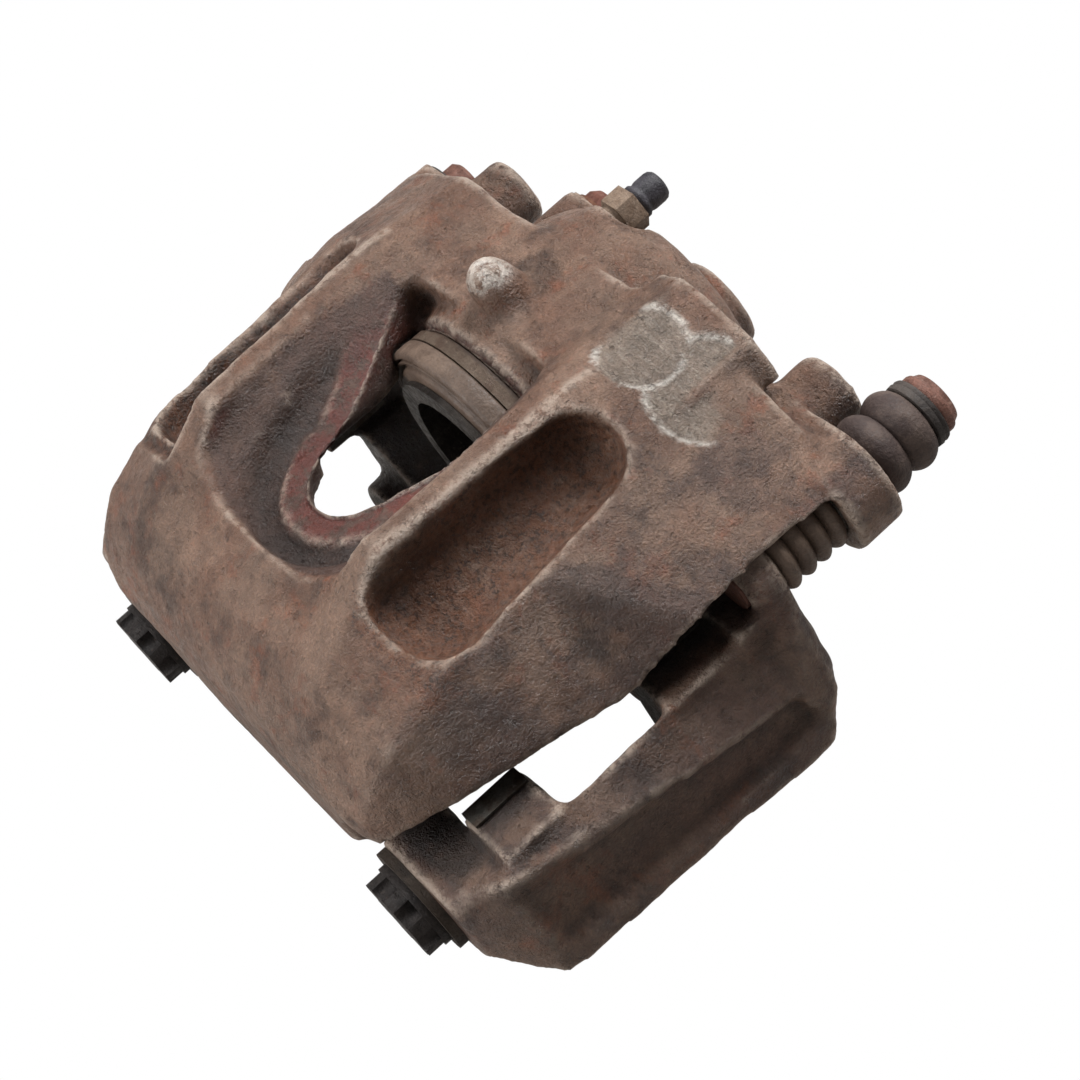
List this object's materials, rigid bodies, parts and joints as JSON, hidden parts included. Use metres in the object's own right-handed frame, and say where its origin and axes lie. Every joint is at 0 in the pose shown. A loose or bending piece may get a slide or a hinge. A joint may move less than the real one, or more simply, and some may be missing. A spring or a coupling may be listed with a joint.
{
  "type": "floating brake caliper",
  "caption": "Floating disc brake caliper: cast housing with a piston, sliding on guide pins in a cast carrier with rubber boots, end bolts and a bleed screw.",
  "frame": {"origin": "on the piston's axis, in the middle of the disc's thickness", "axes": "+Y points inboard along the piston's axis and the guide pins, +Z points outwards from the wheel's centre, +X runs along the disc's edge towards the side with the outer pin boot"},
  "size_m": [0.213, 0.1713, 0.1208],
  "materials": {
    "cast_housing": "rusty brown casting, rough",
    "cast_carrier": "rusty brown casting, rough",
    "pin_steel": "rusted steel, satin where it slides",
    "bolt_steel": "dark oxidised steel",
    "washer_steel": "dark oxidised steel",
    "clip_steel": "dull spring steel",
    "boot_rubber": "matt, dusty",
    "collar_rubber": "matt, dusty",
    "seal_rubber": "matt black",
    "cap_rubber": "matt black, dusty",
    "bush_steel": "machined, dull",
    "ring_steel": "dull pressed steel",
    "plug_steel": "rusted steel",
    "copper_washer": "dull copper",
    "piston_steel": "plated, dulled by dirt",
    "bleed_steel": "plated steel, tarnished"
  },
  "bodies": {
    "carrier": {"carrier": "cast_carrier", "left_guide_pin": "pin_steel", "right_guide_pin": "pin_steel", "left_end_bolt": "bolt_steel", "right_end_bolt": "bolt_steel", "left_end_washer": "washer_steel", "right_end_washer": "washer_steel", "outboard_left_pad_clip": "clip_steel", "outboard_right_pad_clip": "clip_steel", "inboard_left_pad_clip": "clip_steel", "inboard_right_pad_clip": "clip_steel", "left_inner_pin_boot": "boot_rubber", "right_inner_pin_boot": "boot_rubber", "right_outer_pin_boot": "boot_rubber", "right_boot_collar": "collar_rubber"},
    "housing": {"housing": "cast_housing", "left_pin_lip_seal": "collar_rubber", "left_guide_bush": "bush_steel", "right_guide_bush": "bush_steel", "piston_seal": "seal_rubber", "piston_dust_boot": "boot_rubber", "dust_boot_ring": "ring_steel", "hose_port_plug": "plug_steel", "plug_washer": "copper_washer"},
    "piston": {"piston": "piston_steel"},
    "bleed_screw": {"bleed_screw": "bleed_steel"},
    "bleed_cap": {"bleed_cap": "cap_rubber"}
  },
  "joints": [
    {"name": "housing_slide", "type": "slide", "parent": "carrier", "child": "housing", "axis": [0, 1, 0], "range_m": [-0.008, 0.004], "deforming": ["left_inner_pin_boot", "right_inner_pin_boot", "right_outer_pin_boot"]},
    {"name": "piston_slide", "type": "slide", "parent": "housing", "child": "piston", "axis": [0, -1, 0], "range_m": [-0.004, 0.025], "deforming": ["piston_dust_boot"]},
    {"name": "bleed_screw_turn", "type": "hinge", "parent": "housing", "child": "bleed_screw", "pos_m": [-0.005, 0.096, 0.03], "axis": [0, 1, 0], "range_deg": [0, 180]},
    {"name": "bleed_cap_pull", "type": "slide", "parent": "bleed_screw", "child": "bleed_cap", "axis": [0, 1, 0], "range_m": [0, 0.02]}
  ]
}
